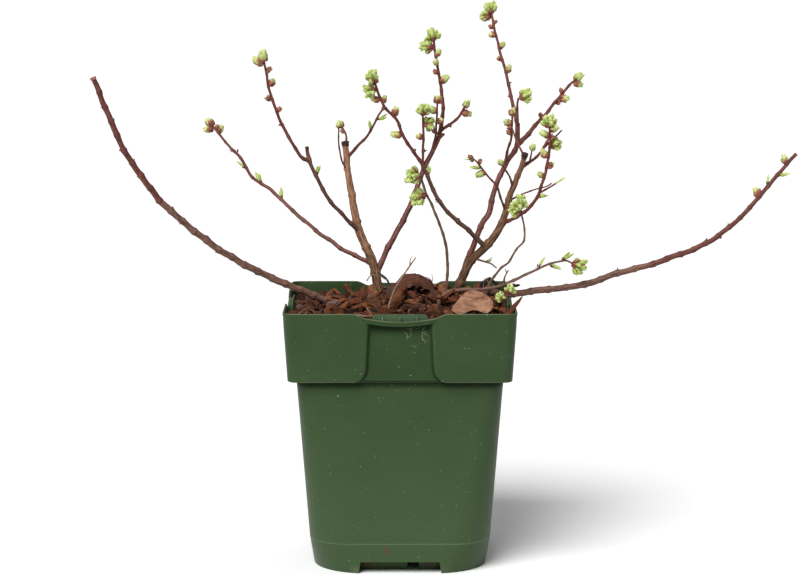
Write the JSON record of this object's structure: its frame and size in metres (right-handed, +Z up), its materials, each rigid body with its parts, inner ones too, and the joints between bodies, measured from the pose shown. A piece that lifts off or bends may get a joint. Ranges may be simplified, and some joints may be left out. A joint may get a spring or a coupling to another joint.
{
  "type": "potted blueberry bush",
  "caption": "Young bare blueberry bush at bud break, with upright stems and long low canes, in a square stepped nursery pot with bark mulch.",
  "frame": {"origin": "centre of the pot's flat underside, on the surface that it stands on", "axes": "+Z up, +X along the two long canes to the right of the front view, -Y to the front of the pot"},
  "size_m": [0.5883, 0.1898, 0.4674],
  "materials": {
    "pot_plastic": "dark green moulded plastic, dull",
    "potting_mix": "dark moist peat and fine bark",
    "pine_bark": "reddish brown bark chips, dull",
    "old_wood": "grey brown bark, lightly furrowed",
    "new_wood": "smooth reddish purple bark",
    "dry_wood": "dry pale brown twig",
    "budded_twigs": "thin red brown twigs with yellow green buds"
  },
  "bodies": {
    "root": {"pot": "pot_plastic", "potting_mix": "potting_mix", "bark_mulch": "pine_bark", "trunk_left": "old_wood", "trunk_right": "old_wood", "cane_left": "old_wood", "cane_left_end": "new_wood", "cane_right": "old_wood", "cane_right_end": "new_wood", "bough_centre": "new_wood", "bough_cross": "new_wood", "bough_left_low": "new_wood", "bough_left_mid": "new_wood", "bough_right_tall": "new_wood", "dry_twig": "dry_wood", "shoot_centre": "budded_twigs", "shoot_front": "budded_twigs", "shoot_low_right": "budded_twigs", "shoot_rim": "budded_twigs", "twig_front_left": "budded_twigs", "twig_front_short": "budded_twigs", "twig_right_bare": "budded_twigs", "twig_trunk_foot": "budded_twigs", "twig_trunk_top": "budded_twigs", "twigs_centre": "budded_twigs", "twigs_centre_front": "budded_twigs", "twigs_centre_left": "budded_twigs", "twigs_cross": "budded_twigs", "twigs_left_low": "budded_twigs", "twigs_left_mid": "budded_twigs", "twigs_left_top_a": "budded_twigs", "twigs_left_top_b": "budded_twigs", "twigs_left_top_c": "budded_twigs", "twigs_right_arm": "budded_twigs", "twigs_right_back": "budded_twigs", "twigs_right_low": "budded_twigs", "twigs_right_open": "budded_twigs", "twigs_right_side": "budded_twigs", "twigs_top": "budded_twigs"}
  },
  "joints": []
}
